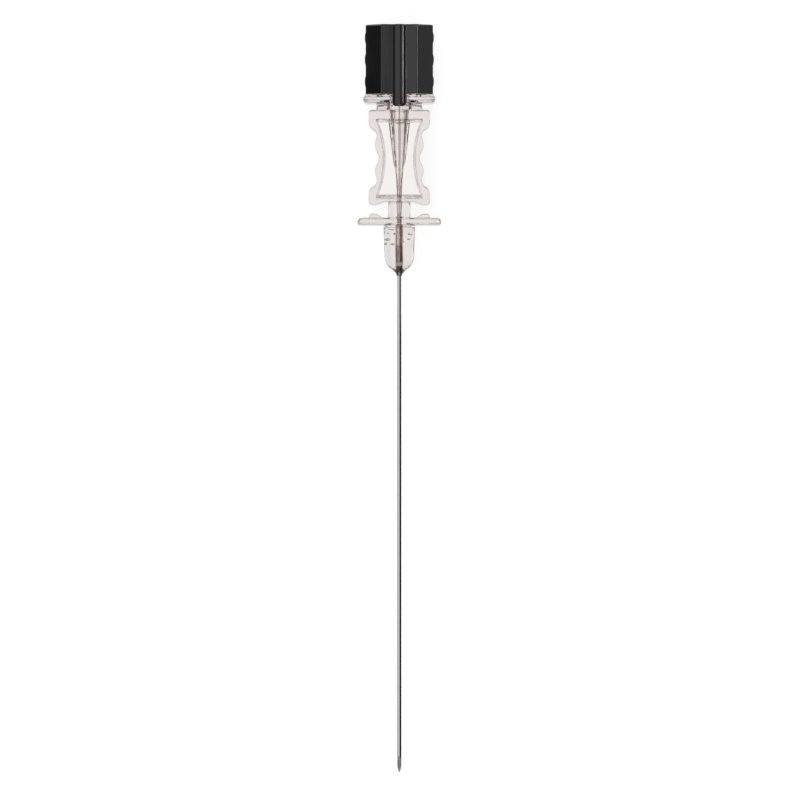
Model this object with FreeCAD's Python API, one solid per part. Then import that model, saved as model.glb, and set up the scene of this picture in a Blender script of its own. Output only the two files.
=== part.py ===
"""Spinal needle with its stylet in place, at rest on its back. Sizes are in millimetres.

The needle's axis is the Y axis. The point is at -Y and the handle of the stylet at +Y. The front of the
hub, where the key and the ground face of the point are, looks up, to +Z. The origin is on the axis, where
the cannula leaves the nose of the hub. Levels along the axis are stacked from there.
"""
import FreeCAD
import Part
import math
import os

from FreeCAD import Vector

# Cannula, 22 gauge by 88 mm
NEEDLE_LENGTH = 88.0
CANNULA_R = 0.36
CANNULA_BORE_R = 0.23
CANNULA_SEAT_DEPTH = 10.4

# Point: one long primary grind, then two short side grinds turned about the axis
BEVEL_LENGTH = 2.93
LANCET_TURN = 38.0
LANCET_ANGLE = 19.0

# Stylet wire
WIRE_CLEARANCE = 0.03
WIRE_HELD_LENGTH = 1.0

# Adhesive round the cannula
GLUE_GAP = 0.10

# Bore of the hub above the cannula
THROAT_CLEARANCE = 0.06
FUNNEL_TOP_R = 1.06
LUER_MOUTH_R = 2.15
LUER_TAPER = 0.03
LUER_WALL = 1.0
LUER_LENGTH = 9.2
WELL_R = 1.75
LUG_R = 3.9
LUG_HEIGHT = 1.1
LUG_WIDTH = 3.4

# Nose
NOSE_HEIGHT = 8.9
NOSE_TOP_R = 2.82
NOSE_LOW_R = 2.62
NOSE_END_R = 0.55
NOSE_COLLAR = 0.35
NOSE_CONE_HALF_ANGLE = 49.0
NOSE_SHOULDER_R = 4.2

# Lower flange and its finger humps
FLAT_HALF_DEPTH = 5.2
FLANGE_CORNER_R = 1.2
LOWER_FLANGE_HALF = 7.48
LOWER_FLANGE_TOP_HALF = 7.25
LOWER_FLANGE_THICKNESS = 1.2
LOWER_FLANGE_EDGE = 0.22
HUMP_HEIGHT = 0.75
HUMP_PEAK_X = 4.6
HUMP_OUTER_X = 5.36
HUMP_INNER_X = 2.3
HUMP_ROUND_R = 0.45

# Necks
LOWER_NECK_R = 1.965
LOWER_NECK_LENGTH = 2.9
UPPER_NECK_R = 4.05
UPPER_NECK_LENGTH = 1.2

# Grip body: an hourglass with wavy edges, and a window recessed in its front and back
BODY_HALF_DEPTH = 4.2
BODY_END_HALF = 5.4
BODY_CORNER_R = 0.5
BODY_SAG = 0.5
BODY_SAG_X = 4.4
SILL_HEIGHT = 0.9
WINDOW_HEIGHT = 13.6
LINTEL_HEIGHT = 1.7
WAIST_HALF = 3.65
BUMP_HALF = 4.3
BUMP_OFFSET = 2.3
GROOVE_HALF = 4.0
GROOVE_OFFSET = 4.0
FLARE_OFFSET = 6.2
WINDOW_WAIST_HALF = 2.85
WINDOW_END_HALF = 4.15
WINDOW_DRAFT = 5.0
SILL_LEAN = 0.3
WEB_HALF_THICKNESS = 0.7
BOSS_TOP_R = 1.95
BOSS_LOW_WALL = 0.15

# Upper flange and keyway
UPPER_FLANGE_HALF = 6.37
UPPER_FLANGE_THICKNESS = 1.4
UPPER_FLANGE_EDGE = 0.4
KEYWAY_CLEARANCE = 0.24
KEYWAY_CORNER_R = 0.6

# Stylet cap
CAP_GAP = 0.2
CAP_HEIGHT = 12.3
CAP_HALF_WIDTH = 5.95
CAP_SIDE_HALF_DEPTH = 1.6
CAP_HALF_DEPTH = 5.0
CAP_FRONT_HALF = 3.1
CAP_WALL = 1.1
CAP_FLUTE_WALL = 0.65
CAP_ROOF = 1.2
CAP_EDGE = 0.25
CAP_SIDE_CORNER_R = 0.5
CAP_FRONT_CORNER_R = 0.35
RIB_ROOT_R = 0.2
FLUTE_DEPTH = 0.85
FLUTE_LIP = 0.12
KEY_HALF_WIDTH = 1.26
KEY_REACH = 0.6
KEY_NECK_CLEARANCE = 0.12
KEY_END_R = 0.7
PLUG_CLEARANCE = 0.05
PLUG_DEPTH = 4.0
GRIP_RIDGE_COUNT = 3
GRIP_RIDGE_PITCH = 3.88
GRIP_RIDGE_WIDTH = 1.95
GRIP_RIDGE_HEIGHT = 0.18

# Sizes that follow from those above
GLUE_R = CANNULA_R + GLUE_GAP
WIRE_R = CANNULA_BORE_R - WIRE_CLEARANCE
THROAT_R = WIRE_R + THROAT_CLEARANCE
KEYWAY_HALF_WIDTH = KEY_HALF_WIDTH + KEYWAY_CLEARANCE
KEY_BACK_Z = UPPER_NECK_R + KEY_NECK_CLEARANCE
KEYWAY_FLOOR_Z = KEY_BACK_Z - KEYWAY_CLEARANCE

# Levels along the axis
LOWER_FLANGE_TOP_Y = NOSE_HEIGHT + LOWER_FLANGE_THICKNESS
BODY_LOW_Y = LOWER_FLANGE_TOP_Y + LOWER_NECK_LENGTH
WINDOW_LOW_Y = BODY_LOW_Y + SILL_HEIGHT
WINDOW_TOP_Y = WINDOW_LOW_Y + WINDOW_HEIGHT
WAIST_Y = (WINDOW_LOW_Y + WINDOW_TOP_Y) / 2
BODY_TOP_Y = WINDOW_TOP_Y + LINTEL_HEIGHT
UPPER_FLANGE_LOW_Y = BODY_TOP_Y + UPPER_NECK_LENGTH
UPPER_FLANGE_TOP_Y = UPPER_FLANGE_LOW_Y + UPPER_FLANGE_THICKNESS
LUER_MOUTH_Y = UPPER_FLANGE_TOP_Y + LUER_LENGTH
CAP_LOW_Y = UPPER_FLANGE_TOP_Y + CAP_GAP
CAP_TOP_Y = CAP_LOW_Y + CAP_HEIGHT
CAP_CEILING_Y = CAP_TOP_Y - CAP_ROOF

ORIGIN = Vector(0, 0, 0)
AXIS = Vector(0, 1, 0)
OVERRUN = 1.0
TINY = 1e-3


def turned(outline):
    """A solid turned about the Y axis from (radius, level) points."""
    points = [Vector(r, y, 0) for r, y in outline]
    face = Part.Face(Part.makePolygon(points + points[:1]))
    return face.revolve(ORIGIN, AXIS, 360)


def rod(radius, low_y, top_y):
    """A round rod along the axis."""
    return Part.makeCylinder(radius, top_y - low_y, Vector(0, low_y, 0), AXIS)


def block(half_x, low_y, top_y, low_z, top_z):
    """A box centred on the middle plane x = 0."""
    return Part.makeBox(2 * half_x, top_y - low_y, top_z - low_z, Vector(-half_x, low_y, low_z))


def luer_r(y):
    """Radius of the tapered socket at a level."""
    return LUER_MOUTH_R - LUER_TAPER * (LUER_MOUTH_Y - y)


def funnel_r(y):
    """Radius of the funnel, one even taper down to the cannula's seat, at a level."""
    taper = (FUNNEL_TOP_R - THROAT_R) / (WINDOW_TOP_Y - CANNULA_SEAT_DEPTH)
    return THROAT_R + taper * (y - CANNULA_SEAT_DEPTH)


def mirrored_wire(right_edges):
    """A closed wire from the edges of its right half."""
    left_edges = [edge.mirror(ORIGIN, Vector(1, 0, 0)) for edge in right_edges]
    return Part.Wire(Part.__sortEdges__(right_edges + left_edges))


def lines(points):
    """Straight edges through (x, y) points at z = 0."""
    corners = [Vector(x, y, 0) for x, y in points]
    return [Part.LineSegment(a, b).toShape() for a, b in zip(corners, corners[1:])]


def s_curve(start, end, heading):
    """Two equal arcs, tangent where they meet, that leave start and reach end along one heading."""
    start = Vector(*start, 0)
    end = Vector(*end, 0)
    heading = Vector(*heading, 0)
    middle = (start + end) / 2
    aside = (end - start) - heading * (end - start).dot(heading)
    radius = (end - start).Length ** 2 / (4 * aside.Length)
    centre = start + aside.normalize() * radius
    bisector = ((start - centre) + (middle - centre)).normalize()
    first = centre + bisector * radius
    second = middle * 2 - first
    return [Part.Arc(start, first, middle).toShape(), Part.Arc(middle, second, end).toShape()]


def quarter_arc(start, corner, end):
    """A quarter circle from start to end that rounds a square corner."""
    start, corner, end = Vector(*start, 0), Vector(*corner, 0), Vector(*end, 0)
    centre = start + end - corner
    middle = centre + (corner - centre).normalize() * (start - centre).Length
    return Part.Arc(start, middle, end).toShape()


def extruded(wire, half_depth):
    """A prism of an outline in the XY plane, as deep in front of it as behind."""
    face = Part.Face(wire)
    face.translate(Vector(0, 0, -half_depth))
    return face.extrude(Vector(0, 0, 2 * half_depth))


def edges_where(shape, test):
    """The edges whose middle point passes a test."""
    picked = []
    for edge in shape.Edges:
        middle = edge.valueAt((edge.FirstParameter + edge.LastParameter) / 2)
        if test(middle, edge):
            picked.append(edge)
    return picked


def along(edge, direction):
    """True if a straight edge runs along a direction."""
    run = edge.Vertexes[-1].Point - edge.Vertexes[0].Point
    return run.Length > TINY and abs(run.normalize().dot(direction)) > 0.999


def ground(blank):
    """The blank with the three grinds of the point."""
    tip = Vector(0, -NEEDLE_LENGTH, -CANNULA_R)
    slope = math.degrees(math.atan2(2 * CANNULA_R, BEVEL_LENGTH))
    reach = 2 * BEVEL_LENGTH
    for turn, angle in ((0, slope), (LANCET_TURN, LANCET_ANGLE), (-LANCET_TURN, LANCET_ANGLE)):
        stone = Part.makeBox(reach, 3 * reach, reach, Vector(-reach / 2, -reach, 0))
        stone.rotate(ORIGIN, Vector(1, 0, 0), angle)
        stone.rotate(ORIGIN, AXIS, turn)
        stone.translate(tip)
        blank = blank.cut(stone)
    return blank


def make_cannula():
    """The steel tube, from its seat in the hub to its ground point."""
    blank = rod(CANNULA_R, -NEEDLE_LENGTH, CANNULA_SEAT_DEPTH)
    bore = rod(CANNULA_BORE_R, -NEEDLE_LENGTH - OVERRUN, CANNULA_SEAT_DEPTH + OVERRUN)
    return ground(blank.cut(bore))


def make_stylet_wire():
    """The wire, from inside the roof of the cap to the point, ground with the cannula."""
    return ground(rod(WIRE_R, -NEEDLE_LENGTH, CAP_CEILING_Y + WIRE_HELD_LENGTH))


def make_adhesive_bond():
    """The ring of adhesive between the cannula and the nose."""
    return rod(GLUE_R, 0, CANNULA_SEAT_DEPTH).cut(rod(CANNULA_R, -OVERRUN, CANNULA_SEAT_DEPTH + OVERRUN))


def make_nose():
    """The domed nose, with a short collar where the cannula leaves it."""
    cone_height = (NOSE_LOW_R - NOSE_END_R) / math.tan(math.radians(NOSE_CONE_HALF_ANGLE))
    shoulder_y = NOSE_COLLAR + cone_height
    half_turn = math.radians(90 - NOSE_CONE_HALF_ANGLE) / 2
    reach = NOSE_SHOULDER_R * math.tan(half_turn)
    cone_run = Vector(NOSE_LOW_R - NOSE_END_R, cone_height, 0).normalize()
    corner = Vector(NOSE_LOW_R, shoulder_y, 0)
    centre = corner + Vector(-NOSE_SHOULDER_R, reach, 0)
    start = corner - cone_run * reach
    end = corner + Vector(0, reach, 0)
    middle = centre + (corner - centre).normalize() * NOSE_SHOULDER_R
    outline = lines([
        (0, NOSE_HEIGHT),
        (0, 0),
        (NOSE_END_R, 0),
        (NOSE_END_R, NOSE_COLLAR),
        (start.x, start.y),
    ])
    outline += [Part.Arc(start, middle, end).toShape()]
    outline += lines([(end.x, end.y), (NOSE_TOP_R, NOSE_HEIGHT), (0, NOSE_HEIGHT)])
    return Part.Face(Part.Wire(outline)).revolve(ORIGIN, AXIS, 360)


def make_lower_flange():
    """The oblong flange with a finger hump on each side."""
    ends = lines([
        (0, NOSE_HEIGHT),
        (LOWER_FLANGE_HALF, NOSE_HEIGHT),
        (LOWER_FLANGE_TOP_HALF, LOWER_FLANGE_TOP_Y),
        (0, LOWER_FLANGE_TOP_Y),
    ])
    plate = extruded(mirrored_wire(ends), FLAT_HALF_DEPTH)
    corners = edges_where(plate, lambda p, e: abs(p.x) > BODY_END_HALF and abs(p.z) > FLAT_HALF_DEPTH - TINY)
    plate = plate.makeFillet(FLANGE_CORNER_R, corners)
    rims = edges_where(plate, lambda p, e: min(abs(p.y - NOSE_HEIGHT), abs(p.y - LOWER_FLANGE_TOP_Y)) < TINY)
    plate = plate.makeChamfer(LOWER_FLANGE_EDGE, rims)
    root_y = LOWER_FLANGE_TOP_Y - LOWER_FLANGE_THICKNESS / 2
    peak_y = LOWER_FLANGE_TOP_Y + HUMP_HEIGHT
    foot = (HUMP_INNER_X, LOWER_FLANGE_TOP_Y)
    crown = (HUMP_OUTER_X - HUMP_ROUND_R, peak_y)
    brink = (HUMP_OUTER_X, peak_y - HUMP_ROUND_R)
    outline = s_curve(foot, (HUMP_PEAK_X, peak_y), (1, 0))
    outline += lines([(HUMP_PEAK_X, peak_y), crown])
    outline += [quarter_arc(crown, (HUMP_OUTER_X, peak_y), brink)]
    outline += lines([brink, (HUMP_OUTER_X, root_y), (HUMP_INNER_X, root_y), foot])
    hump = extruded(Part.Wire(outline), BODY_HALF_DEPTH)
    return plate.fuse([hump, hump.mirror(ORIGIN, Vector(1, 0, 0))])


def body_outline():
    """The hourglass outline of the grip body, with its wavy edges."""
    wave = [
        (BODY_END_HALF, WAIST_Y - FLARE_OFFSET),
        (GROOVE_HALF, WAIST_Y - GROOVE_OFFSET),
        (BUMP_HALF, WAIST_Y - BUMP_OFFSET),
        (WAIST_HALF, WAIST_Y),
        (BUMP_HALF, WAIST_Y + BUMP_OFFSET),
        (GROOVE_HALF, WAIST_Y + GROOVE_OFFSET),
        (BODY_END_HALF, WAIST_Y + FLARE_OFFSET),
    ]
    corner_y = BODY_LOW_Y - BODY_SAG
    edges = lines([(0, BODY_LOW_Y), (LOWER_NECK_R, BODY_LOW_Y)])
    edges += s_curve((LOWER_NECK_R, BODY_LOW_Y), (BODY_SAG_X, corner_y), (1, 0))
    edges += lines([(BODY_SAG_X, corner_y), (BODY_END_HALF, corner_y), wave[0]])
    for start, end in zip(wave, wave[1:]):
        edges += s_curve(start, end, (0, 1))
    edges += lines([wave[-1], (BODY_END_HALF, BODY_TOP_Y), (0, BODY_TOP_Y)])
    return mirrored_wire(edges)


def window_outline(inset, low_y, z):
    """The window's outline at a height z, drawn in down to its sill. Its sides are two long arcs."""
    end_x = WINDOW_END_HALF - inset
    top_y = WINDOW_TOP_Y - inset
    waist = Vector(WINDOW_WAIST_HALF - inset, WAIST_Y, 0)
    side = Part.Arc(Vector(end_x, low_y, 0), waist, Vector(end_x, top_y, 0)).toShape()
    edges = lines([(0, low_y), (end_x, low_y)]) + [side] + lines([(end_x, top_y), (0, top_y)])
    outline = mirrored_wire(edges)
    outline.translate(Vector(0, 0, z))
    return outline


def make_recess():
    """The window's recess in the front face. Its walls lean for the mould, the sill more than the rest."""
    inset = (BODY_HALF_DEPTH - WEB_HALF_THICKNESS) * math.tan(math.radians(WINDOW_DRAFT))
    floor = window_outline(inset, WINDOW_LOW_Y + inset, WEB_HALF_THICKNESS)
    mouth = window_outline(0, WINDOW_LOW_Y - SILL_LEAN, BODY_HALF_DEPTH)
    return Part.makeLoft([floor, mouth], True, True)


def make_grip_body():
    """The hourglass body with its two windows, and the funnel's boss down the middle."""
    body = extruded(body_outline(), BODY_HALF_DEPTH)
    corners = edges_where(
        body,
        lambda p, e: along(e, Vector(0, 0, 1)) and abs(abs(p.x) - BODY_END_HALF) < TINY
        and (p.y > WINDOW_TOP_Y or p.y < WINDOW_LOW_Y),
    )
    body = body.makeFillet(BODY_CORNER_R, corners)
    recess = make_recess()
    body = body.cut([recess, recess.mirror(ORIGIN, Vector(0, 0, 1))])
    boss_low_r = funnel_r(WINDOW_LOW_Y) + BOSS_LOW_WALL
    boss = turned([
        (0, BODY_LOW_Y),
        (boss_low_r, BODY_LOW_Y),
        (boss_low_r, WINDOW_LOW_Y),
        (BOSS_TOP_R, WINDOW_TOP_Y),
        (BOSS_TOP_R, BODY_TOP_Y),
        (0, BODY_TOP_Y),
    ])
    return body.fuse(boss)


def make_upper_flange():
    """The oblong upper flange with the keyway in its front flat."""
    plate = block(
        UPPER_FLANGE_HALF,
        UPPER_FLANGE_LOW_Y,
        UPPER_FLANGE_TOP_Y,
        -FLAT_HALF_DEPTH,
        FLAT_HALF_DEPTH,
    )
    plate = plate.makeFillet(FLANGE_CORNER_R, edges_where(plate, lambda p, e: along(e, AXIS)))
    keyway = block(
        KEYWAY_HALF_WIDTH,
        UPPER_FLANGE_LOW_Y - OVERRUN,
        UPPER_FLANGE_TOP_Y + OVERRUN,
        KEYWAY_FLOOR_Z,
        2 * FLAT_HALF_DEPTH,
    )
    plate = plate.cut(keyway)
    mouth = edges_where(
        plate,
        lambda p, e: along(e, AXIS) and abs(abs(p.x) - KEYWAY_HALF_WIDTH) < TINY and p.z > KEY_BACK_Z,
    )
    plate = plate.makeFillet(KEYWAY_CORNER_R, mouth)
    rims = edges_where(plate, lambda p, e: not along(e, AXIS) and math.hypot(p.x, p.z) > KEY_BACK_Z)
    return plate.makeChamfer(UPPER_FLANGE_EDGE, rims)


def make_luer_end():
    """The tapered socket's tube, with two lugs at its mouth."""
    tube_r = LUER_MOUTH_R + LUER_WALL
    tube = rod(tube_r, UPPER_FLANGE_TOP_Y, LUER_MOUTH_Y)
    lug_low_y = LUER_MOUTH_Y - LUG_HEIGHT
    lugs = rod(LUG_R, lug_low_y, LUER_MOUTH_Y)
    lugs = lugs.common(block(2 * LUG_R, lug_low_y, LUER_MOUTH_Y, -LUG_WIDTH / 2, LUG_WIDTH / 2))
    return tube.fuse(lugs)


def hub_passage():
    """The way through the hub: the socket, the funnel, the throat and the seat of the cannula."""
    return turned([
        (0, LUER_MOUTH_Y + OVERRUN),
        (luer_r(LUER_MOUTH_Y + OVERRUN), LUER_MOUTH_Y + OVERRUN),
        (luer_r(UPPER_FLANGE_TOP_Y), UPPER_FLANGE_TOP_Y),
        (WELL_R, UPPER_FLANGE_TOP_Y),
        (WELL_R, WINDOW_TOP_Y),
        (FUNNEL_TOP_R, WINDOW_TOP_Y),
        (THROAT_R, CANNULA_SEAT_DEPTH),
        (GLUE_R, CANNULA_SEAT_DEPTH),
        (GLUE_R, -OVERRUN),
        (0, -OVERRUN),
    ])


def make_hub():
    """The clear hub, one moulding."""
    hub = make_nose()
    hub = hub.fuse([
        make_lower_flange(),
        rod(LOWER_NECK_R, NOSE_HEIGHT, BODY_LOW_Y + SILL_HEIGHT / 2),
        make_grip_body(),
        rod(UPPER_NECK_R, WINDOW_TOP_Y + LINTEL_HEIGHT / 2, UPPER_FLANGE_LOW_Y + UPPER_FLANGE_THICKNESS / 2),
        make_upper_flange(),
        make_luer_end(),
    ])
    return hub.cut(hub_passage()).removeSplitter()


def cap_corners(inset):
    """Corners of the cap's six-sided section in front, right half, drawn in by an even wall."""
    lean = math.atan2(CAP_HALF_DEPTH - CAP_SIDE_HALF_DEPTH, CAP_HALF_WIDTH - CAP_FRONT_HALF)
    front = (CAP_FRONT_HALF - inset * math.tan(lean / 2), CAP_HALF_DEPTH - inset)
    side = (CAP_HALF_WIDTH - inset, CAP_SIDE_HALF_DEPTH - inset * math.tan((math.pi / 2 - lean) / 2))
    return front, side


def rib_edges(root_z):
    """Right half of the rib's section, half round, from the middle of its crest down to a root."""
    centre_z = CAP_HALF_DEPTH - KEY_HALF_WIDTH
    turn = math.asin((root_z - centre_z) / KEY_HALF_WIDTH)
    halfway = (turn + math.pi / 2) / 2
    crest = Part.Arc(
        Vector(0, CAP_HALF_DEPTH, 0),
        Vector(KEY_HALF_WIDTH * math.cos(halfway), centre_z + KEY_HALF_WIDTH * math.sin(halfway), 0),
        Vector(KEY_HALF_WIDTH * math.cos(turn), root_z, 0),
    )
    return [crest.toShape()]


def stood_up(wire, y):
    """A section drawn as (x, depth), turned to lie across the axis at a level."""
    wire.rotate(ORIGIN, Vector(1, 0, 0), 90)
    wire.translate(Vector(0, y, 0))
    return Part.Face(wire)


def cap_section():
    """The cap's outer section: a rib front and back with a flute each side, out to the ridges' crests."""
    front, side = cap_corners(0)
    flute_z = CAP_HALF_DEPTH - FLUTE_DEPTH
    lip_z = CAP_HALF_DEPTH - FLUTE_LIP
    crest_x = CAP_HALF_WIDTH + GRIP_RIDGE_HEIGHT
    crest_z = side[1] - GRIP_RIDGE_HEIGHT * (lip_z - side[1]) / (side[0] - front[0])
    rib = rib_edges(flute_z)
    root = rib[0].Vertexes[-1].Point
    lip = Vector(front[0], lip_z, 0)
    hollow = (root + lip) / 2 - Vector(0, FLUTE_LIP, 0)
    quarter = rib + [Part.Arc(root, hollow, lip).toShape()]
    quarter += lines([(front[0], lip_z), (crest_x, crest_z), (crest_x, 0)])
    half = quarter + [edge.mirror(ORIGIN, Vector(0, 1, 0)) for edge in quarter]
    return stood_up(mirrored_wire(half), CAP_LOW_Y)


def cap_silhouette():
    """The cap's outline from the front, with the grip ridges as low arcs on its sides."""
    middle_y = (CAP_LOW_Y + CAP_TOP_Y) / 2
    half_ridge = GRIP_RIDGE_WIDTH / 2
    edges = []
    last = (CAP_HALF_WIDTH, CAP_LOW_Y)
    for i in range(GRIP_RIDGE_COUNT):
        y = middle_y + (i - (GRIP_RIDGE_COUNT - 1) / 2) * GRIP_RIDGE_PITCH
        foot = (CAP_HALF_WIDTH, y - half_ridge)
        head = (CAP_HALF_WIDTH, y + half_ridge)
        crest = Vector(CAP_HALF_WIDTH + GRIP_RIDGE_HEIGHT, y, 0)
        edges += lines([last, foot])
        edges += [Part.Arc(Vector(*foot, 0), crest, Vector(*head, 0)).toShape()]
        last = head
    shoulder = (CAP_HALF_WIDTH, CAP_TOP_Y - CAP_EDGE)
    crown = (CAP_HALF_WIDTH - CAP_EDGE, CAP_TOP_Y)
    edges += lines([last, shoulder])
    edges += [quarter_arc(shoulder, (CAP_HALF_WIDTH, CAP_TOP_Y), crown)]
    edges += lines([crown, (0, CAP_TOP_Y)])
    edges += lines([(0, CAP_LOW_Y), (CAP_HALF_WIDTH, CAP_LOW_Y)])
    return mirrored_wire(edges)


def make_cap_hollow():
    """The space inside the cap, six-sided like the outside and shallow enough to clear the flutes."""
    front, side = cap_corners(CAP_WALL)
    front_z = CAP_HALF_DEPTH - FLUTE_DEPTH - CAP_FLUTE_WALL
    share = (front[1] - front_z) / (front[1] - side[1])
    front_x = front[0] + share * (side[0] - front[0])
    quarter = [(front_x, front_z), side]
    ring = quarter + [(x, -z) for x, z in reversed(quarter)]
    ring += [(-x, -z) for x, z in quarter] + [(-x, z) for x, z in reversed(quarter)]
    points = [Vector(x, CAP_LOW_Y - OVERRUN, z) for x, z in ring]
    face = Part.Face(Part.makePolygon(points + points[:1]))
    return face.extrude(Vector(0, CAP_CEILING_Y - CAP_LOW_Y + OVERRUN, 0))


def make_key():
    """The key: the front rib carried on past the cap, through the keyway, to a rounded end."""
    low_y = UPPER_FLANGE_LOW_Y - KEY_REACH
    rib = rib_edges(KEY_BACK_Z)
    section = mirrored_wire(rib + lines([(rib[0].Vertexes[-1].X, KEY_BACK_Z), (0, KEY_BACK_Z)]))
    key = stood_up(section, low_y).extrude(Vector(0, CAP_CEILING_Y - low_y, 0))
    plan = block(KEY_HALF_WIDTH, low_y, CAP_TOP_Y, 0, CAP_HALF_DEPTH)
    ends = edges_where(plan, lambda p, e: along(e, Vector(0, 0, 1)) and abs(p.y - low_y) < TINY)
    return key.common(plan.makeFillet(KEY_END_R, ends))


def make_plug():
    """The tapered plug that sits in the socket and holds the wire."""
    low_y = LUER_MOUTH_Y - PLUG_DEPTH
    plug = turned([
        (0, low_y),
        (luer_r(low_y) - PLUG_CLEARANCE, low_y),
        (luer_r(LUER_MOUTH_Y) - PLUG_CLEARANCE, LUER_MOUTH_Y),
        (luer_r(LUER_MOUTH_Y) - PLUG_CLEARANCE, CAP_CEILING_Y + CAP_ROOF / 2),
        (0, CAP_CEILING_Y + CAP_ROOF / 2),
    ])
    return plug


def make_stylet_cap():
    """The black handle of the stylet, one moulding."""
    cap = cap_section().extrude(Vector(0, CAP_HEIGHT, 0))
    crest_x = CAP_HALF_WIDTH + GRIP_RIDGE_HEIGHT
    corners = edges_where(cap, lambda p, e: along(e, AXIS) and abs(abs(p.x) - crest_x) < TINY)
    cap = cap.makeFillet(CAP_SIDE_CORNER_R, corners)
    lips = edges_where(cap, lambda p, e: along(e, AXIS) and abs(abs(p.x) - CAP_FRONT_HALF) < TINY)
    cap = cap.makeFillet(CAP_FRONT_CORNER_R, lips)
    roots = edges_where(cap, lambda p, e: along(e, AXIS) and abs(p.x) < KEY_HALF_WIDTH and abs(p.x) > TINY)
    cap = cap.makeFillet(RIB_ROOT_R, roots)
    cap = cap.makeChamfer(CAP_EDGE, edges_where(cap, lambda p, e: abs(p.y - CAP_TOP_Y) < TINY))
    cap = cap.common(extruded(cap_silhouette(), 2 * CAP_HALF_DEPTH))
    cap = cap.cut(make_cap_hollow())
    cap = cap.fuse([make_key(), make_plug()])
    wire_hole = rod(WIRE_R, 0, CAP_CEILING_Y + WIRE_HELD_LENGTH)
    return cap.cut(wire_hole).removeSplitter()


def main():
    os.makedirs("parts", exist_ok=True)
    makers = {
        "hub": make_hub,
        "cannula": make_cannula,
        "adhesive_bond": make_adhesive_bond,
        "stylet_wire": make_stylet_wire,
        "stylet_cap": make_stylet_cap,
    }
    for node, maker in makers.items():
        shape = maker()
        print(node, "valid", shape.isValid(), "solids", len(shape.Solids), "volume", round(shape.Volume, 3))
        shape.exportStep(f"parts/{node}.step")


main()
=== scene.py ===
# %% [markdown]
# A spinal needle with its stylet in place, lying on its back.
# The solids are made in CAD and come in as a fixed frame. This file gives them their finishes, adds
# what is too fine or too soft for the solids, and lights the whole as a studio photograph.
# All lengths are metres, and the needle's axis is the Y axis, with the point at -Y.

# %% Load the frame
import math

import bmesh
import bpy
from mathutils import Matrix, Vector


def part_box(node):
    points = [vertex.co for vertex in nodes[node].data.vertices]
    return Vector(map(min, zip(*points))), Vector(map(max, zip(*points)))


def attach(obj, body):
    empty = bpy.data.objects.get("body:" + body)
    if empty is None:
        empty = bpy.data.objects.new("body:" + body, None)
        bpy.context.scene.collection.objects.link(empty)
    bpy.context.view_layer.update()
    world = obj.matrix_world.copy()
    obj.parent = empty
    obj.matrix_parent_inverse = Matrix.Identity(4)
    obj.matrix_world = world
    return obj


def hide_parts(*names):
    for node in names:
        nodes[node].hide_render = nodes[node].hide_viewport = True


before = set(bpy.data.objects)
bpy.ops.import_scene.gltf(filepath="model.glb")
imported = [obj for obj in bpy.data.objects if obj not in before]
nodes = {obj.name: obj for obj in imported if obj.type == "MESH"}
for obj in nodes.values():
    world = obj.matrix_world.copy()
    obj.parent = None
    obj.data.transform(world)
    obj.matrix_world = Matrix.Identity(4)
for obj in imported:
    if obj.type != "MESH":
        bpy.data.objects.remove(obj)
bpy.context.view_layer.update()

MM = 0.001
print("nodes", sorted(nodes))

# %% [markdown]
# The sizes that the added pieces need are read from the solids, so that they follow when the solids
# change. The cannula gives the tube's radius and where the point is, and the adhesive's solid gives the
# gap that it fills and how deep the tube sits in the hub. The needle rests on the hub's lowest edges.

# %% Sizes from the solids
cannula_low, cannula_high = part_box("cannula")
glue_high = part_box("adhesive_bond")[1]
cannula_r = cannula_high.x
glue_r = glue_high.x
seat_y = glue_high.y
point_y = cannula_low.y
rest_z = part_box("hub")[0].z
print("tube radius mm", round(cannula_r / MM, 3), "seat depth mm", round(seat_y / MM, 2))

# %% [markdown]
# A few helpers serve every material. Colours are written as the screen shows them, in hex, and a renderer
# needs them linear. A node is added with its settings and links in one call, so a material below reads
# as a list of what happens to the surface. A noise gives values between 0 and 1, but they mostly lie in
# its middle range, and it is that range which the materials spread over a roughness.

# %% Helpers for materials
NOISE_LOW = 0.3
NOISE_HIGH = 0.7


def linear(hex_colour):
    """A linear colour with alpha from an sRGB hex value."""
    channels = [int(hex_colour[i:i + 2], 16) / 255 for i in (1, 3, 5)]
    return tuple(c / 12.92 if c <= 0.04045 else ((c + 0.055) / 1.055) ** 2.4 for c in channels) + (1.0,)


def grey(level):
    """A linear grey with alpha, where a level of 1 is white."""
    return (level, level, level, 1.0)


def add(tree, kind, settings=None, **inputs):
    """A node with its settings, and each input set to a value or linked to a socket."""
    node = tree.nodes.new(kind)
    for name, value in (settings or {}).items():
        setattr(node, name, value)
    for name, value in inputs.items():
        key = int(name[1:]) if name[1:].isdigit() else name.replace("_", " ")
        socket = node.inputs[key]
        if isinstance(value, bpy.types.NodeSocket):
            tree.links.new(value, socket)
        else:
            socket.default_value = value
    return node


def start_material(name):
    """A material cleared of its nodes, with the coordinates of the piece as its first node."""
    material = bpy.data.materials.new(name)
    material.use_nodes = True
    tree = material.node_tree
    tree.nodes.clear()
    place = add(tree, "ShaderNodeTexCoord").outputs["Object"]
    return material, tree, place


def finish_material(tree, surface, volume=None):
    """Links a shader, and what fills the piece, to the material's output."""
    output = add(tree, "ShaderNodeOutputMaterial", Surface=surface.outputs[0])
    if volume:
        tree.links.new(volume.outputs[0], output.inputs["Volume"])


print("half grey of the screen, linear", round(linear("#808080")[0], 3))

# %% [markdown]
# The hub is injection-moulded polycarbonate. On the real one the clear wall carries a faint warm tint
# that gathers where light runs far through it, so its edges look brown and its thin web nearly white.
# A tint on the surface would colour every wall alike. Here the plastic's volume takes light away with
# length instead, which is what the eye sees. Slow ripples from the mould's flow bend what is behind.

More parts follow.
